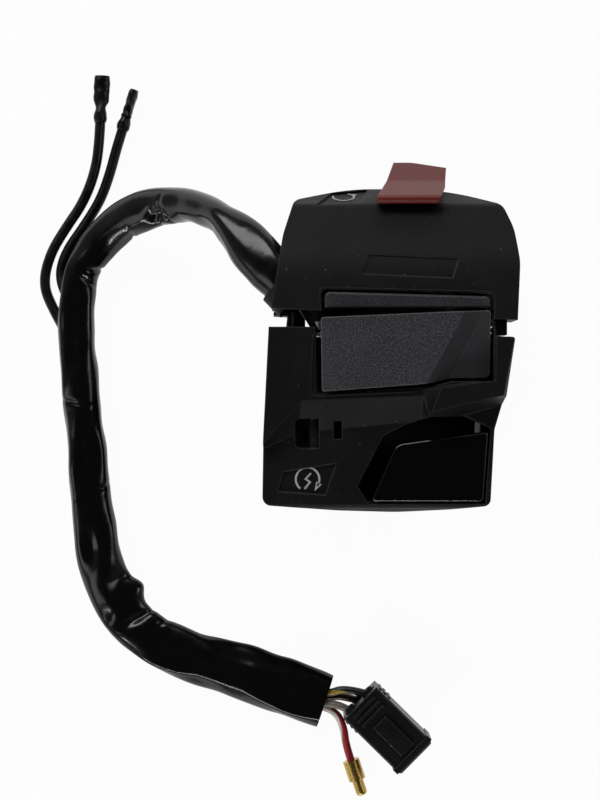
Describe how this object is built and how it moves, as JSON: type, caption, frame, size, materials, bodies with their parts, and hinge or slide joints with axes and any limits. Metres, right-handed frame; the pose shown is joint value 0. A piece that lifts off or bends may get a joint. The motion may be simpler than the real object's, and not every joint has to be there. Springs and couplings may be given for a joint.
{
  "type": "handlebar switch cluster",
  "caption": "Right-hand motorcycle handlebar switch cluster that clamps on a 22.2 mm bar: stop lever, mode key, starter key, harness sleeve, brake leads, connector.",
  "frame": {"origin": "on the handlebar's axis, where the two housing halves meet, midway along the cluster", "axes": "+X along the bar, outboard; +Y towards the cluster's top; +Z out of the rider's face"},
  "size_m": [0.107, 0.1671, 0.0474],
  "materials": {
    "housing_black": "moulded satin black",
    "trim_grain": "grained dark grey",
    "lever_red": "satin red",
    "key_gloss": "piano black",
    "switch_nylon": "natural nylon",
    "grommet_rubber": "soft black",
    "board_green": "lacquered laminate",
    "steel": "zinc plated",
    "brass": "plain",
    "sleeve_vinyl": "glossy vinyl",
    "lead_black": "satin vinyl",
    "connector_black": "moulded dark grey",
    "wire_yellow": "black with a yellow stripe",
    "wire_grey": "satin vinyl",
    "wire_brown": "satin vinyl",
    "wire_red": "red with a pale stripe"
  },
  "bodies": {
    "housing": {"upper_housing": "housing_black", "lower_housing": "housing_black", "upper_trim_strip": "trim_grain", "stop_switch_base": "switch_nylon", "starter_switch_base": "housing_black", "mode_tact_switch": "switch_nylon", "mode_tact_plunger": "grommet_rubber", "cable_grommet": "grommet_rubber", "circuit_board": "board_green", "stop_lever_pin": "steel", "mode_key_pin": "steel", "housing_screws": "steel", "switch_base_screws": "steel", "board_screws": "steel", "stop_detent_ball": "steel", "stop_detent_spring": "steel", "starter_return_spring": "steel", "mode_return_spring": "steel", "thread_inserts": "brass", "stop_contact_strips": "brass", "starter_contacts": "brass", "connector_terminals": "brass", "spade_terminal_a": "brass", "spade_terminal_b": "brass", "bullet_terminal": "brass", "harness_sleeve": "sleeve_vinyl", "brake_lead_a": "lead_black", "brake_lead_b": "lead_black", "terminal_boot_a": "lead_black", "terminal_boot_b": "lead_black", "connector_shell": "connector_black", "connector_latch": "connector_black", "wire_black_yellow": "wire_yellow", "wire_grey": "wire_grey", "wire_brown": "wire_brown", "wire_red": "wire_red", "inner_leads": "lead_black"},
    "stop_lever": {"stop_lever": "lever_red"},
    "stop_slider": {"stop_contact_slider": "switch_nylon", "stop_contact_bridge": "brass"},
    "starter_button": {"starter_key": "key_gloss", "starter_contact_bridge": "brass"},
    "mode_button": {"mode_key": "trim_grain"}
  },
  "joints": [
    {"name": "stop_lever_turn", "type": "hinge", "parent": "housing", "child": "stop_lever", "pos_m": [0.0052, 0.02179, 0.0075], "axis": [1, 0, 0], "range_deg": [-14, 0]},
    {"name": "stop_slider_slide", "type": "slide", "parent": "housing", "child": "stop_slider", "axis": [0, 0, 1], "range_m": [0, 0.00132]},
    {"name": "starter_press", "type": "slide", "parent": "housing", "child": "starter_button", "axis": [0, 0, 1], "range_m": [-0.0018, 0], "stiffness_N_per_m": 900, "springref_m": 0.001, "deforming": ["starter_return_spring"]},
    {"name": "mode_press", "type": "hinge", "parent": "housing", "child": "mode_button", "pos_m": [0.0034, -0.00179, 0.0192], "axis": [1, 0, 0], "range_deg": [0, 4.5], "stiffness_Nm_per_rad": 0.12, "springref_deg": -2.86, "deforming": ["mode_return_spring", "mode_tact_plunger"]}
  ],
  "couplings": [
    {"joint": "stop_lever_turn", "follows": "stop_slider_slide", "rad_per_m": -183.8}
  ]
}
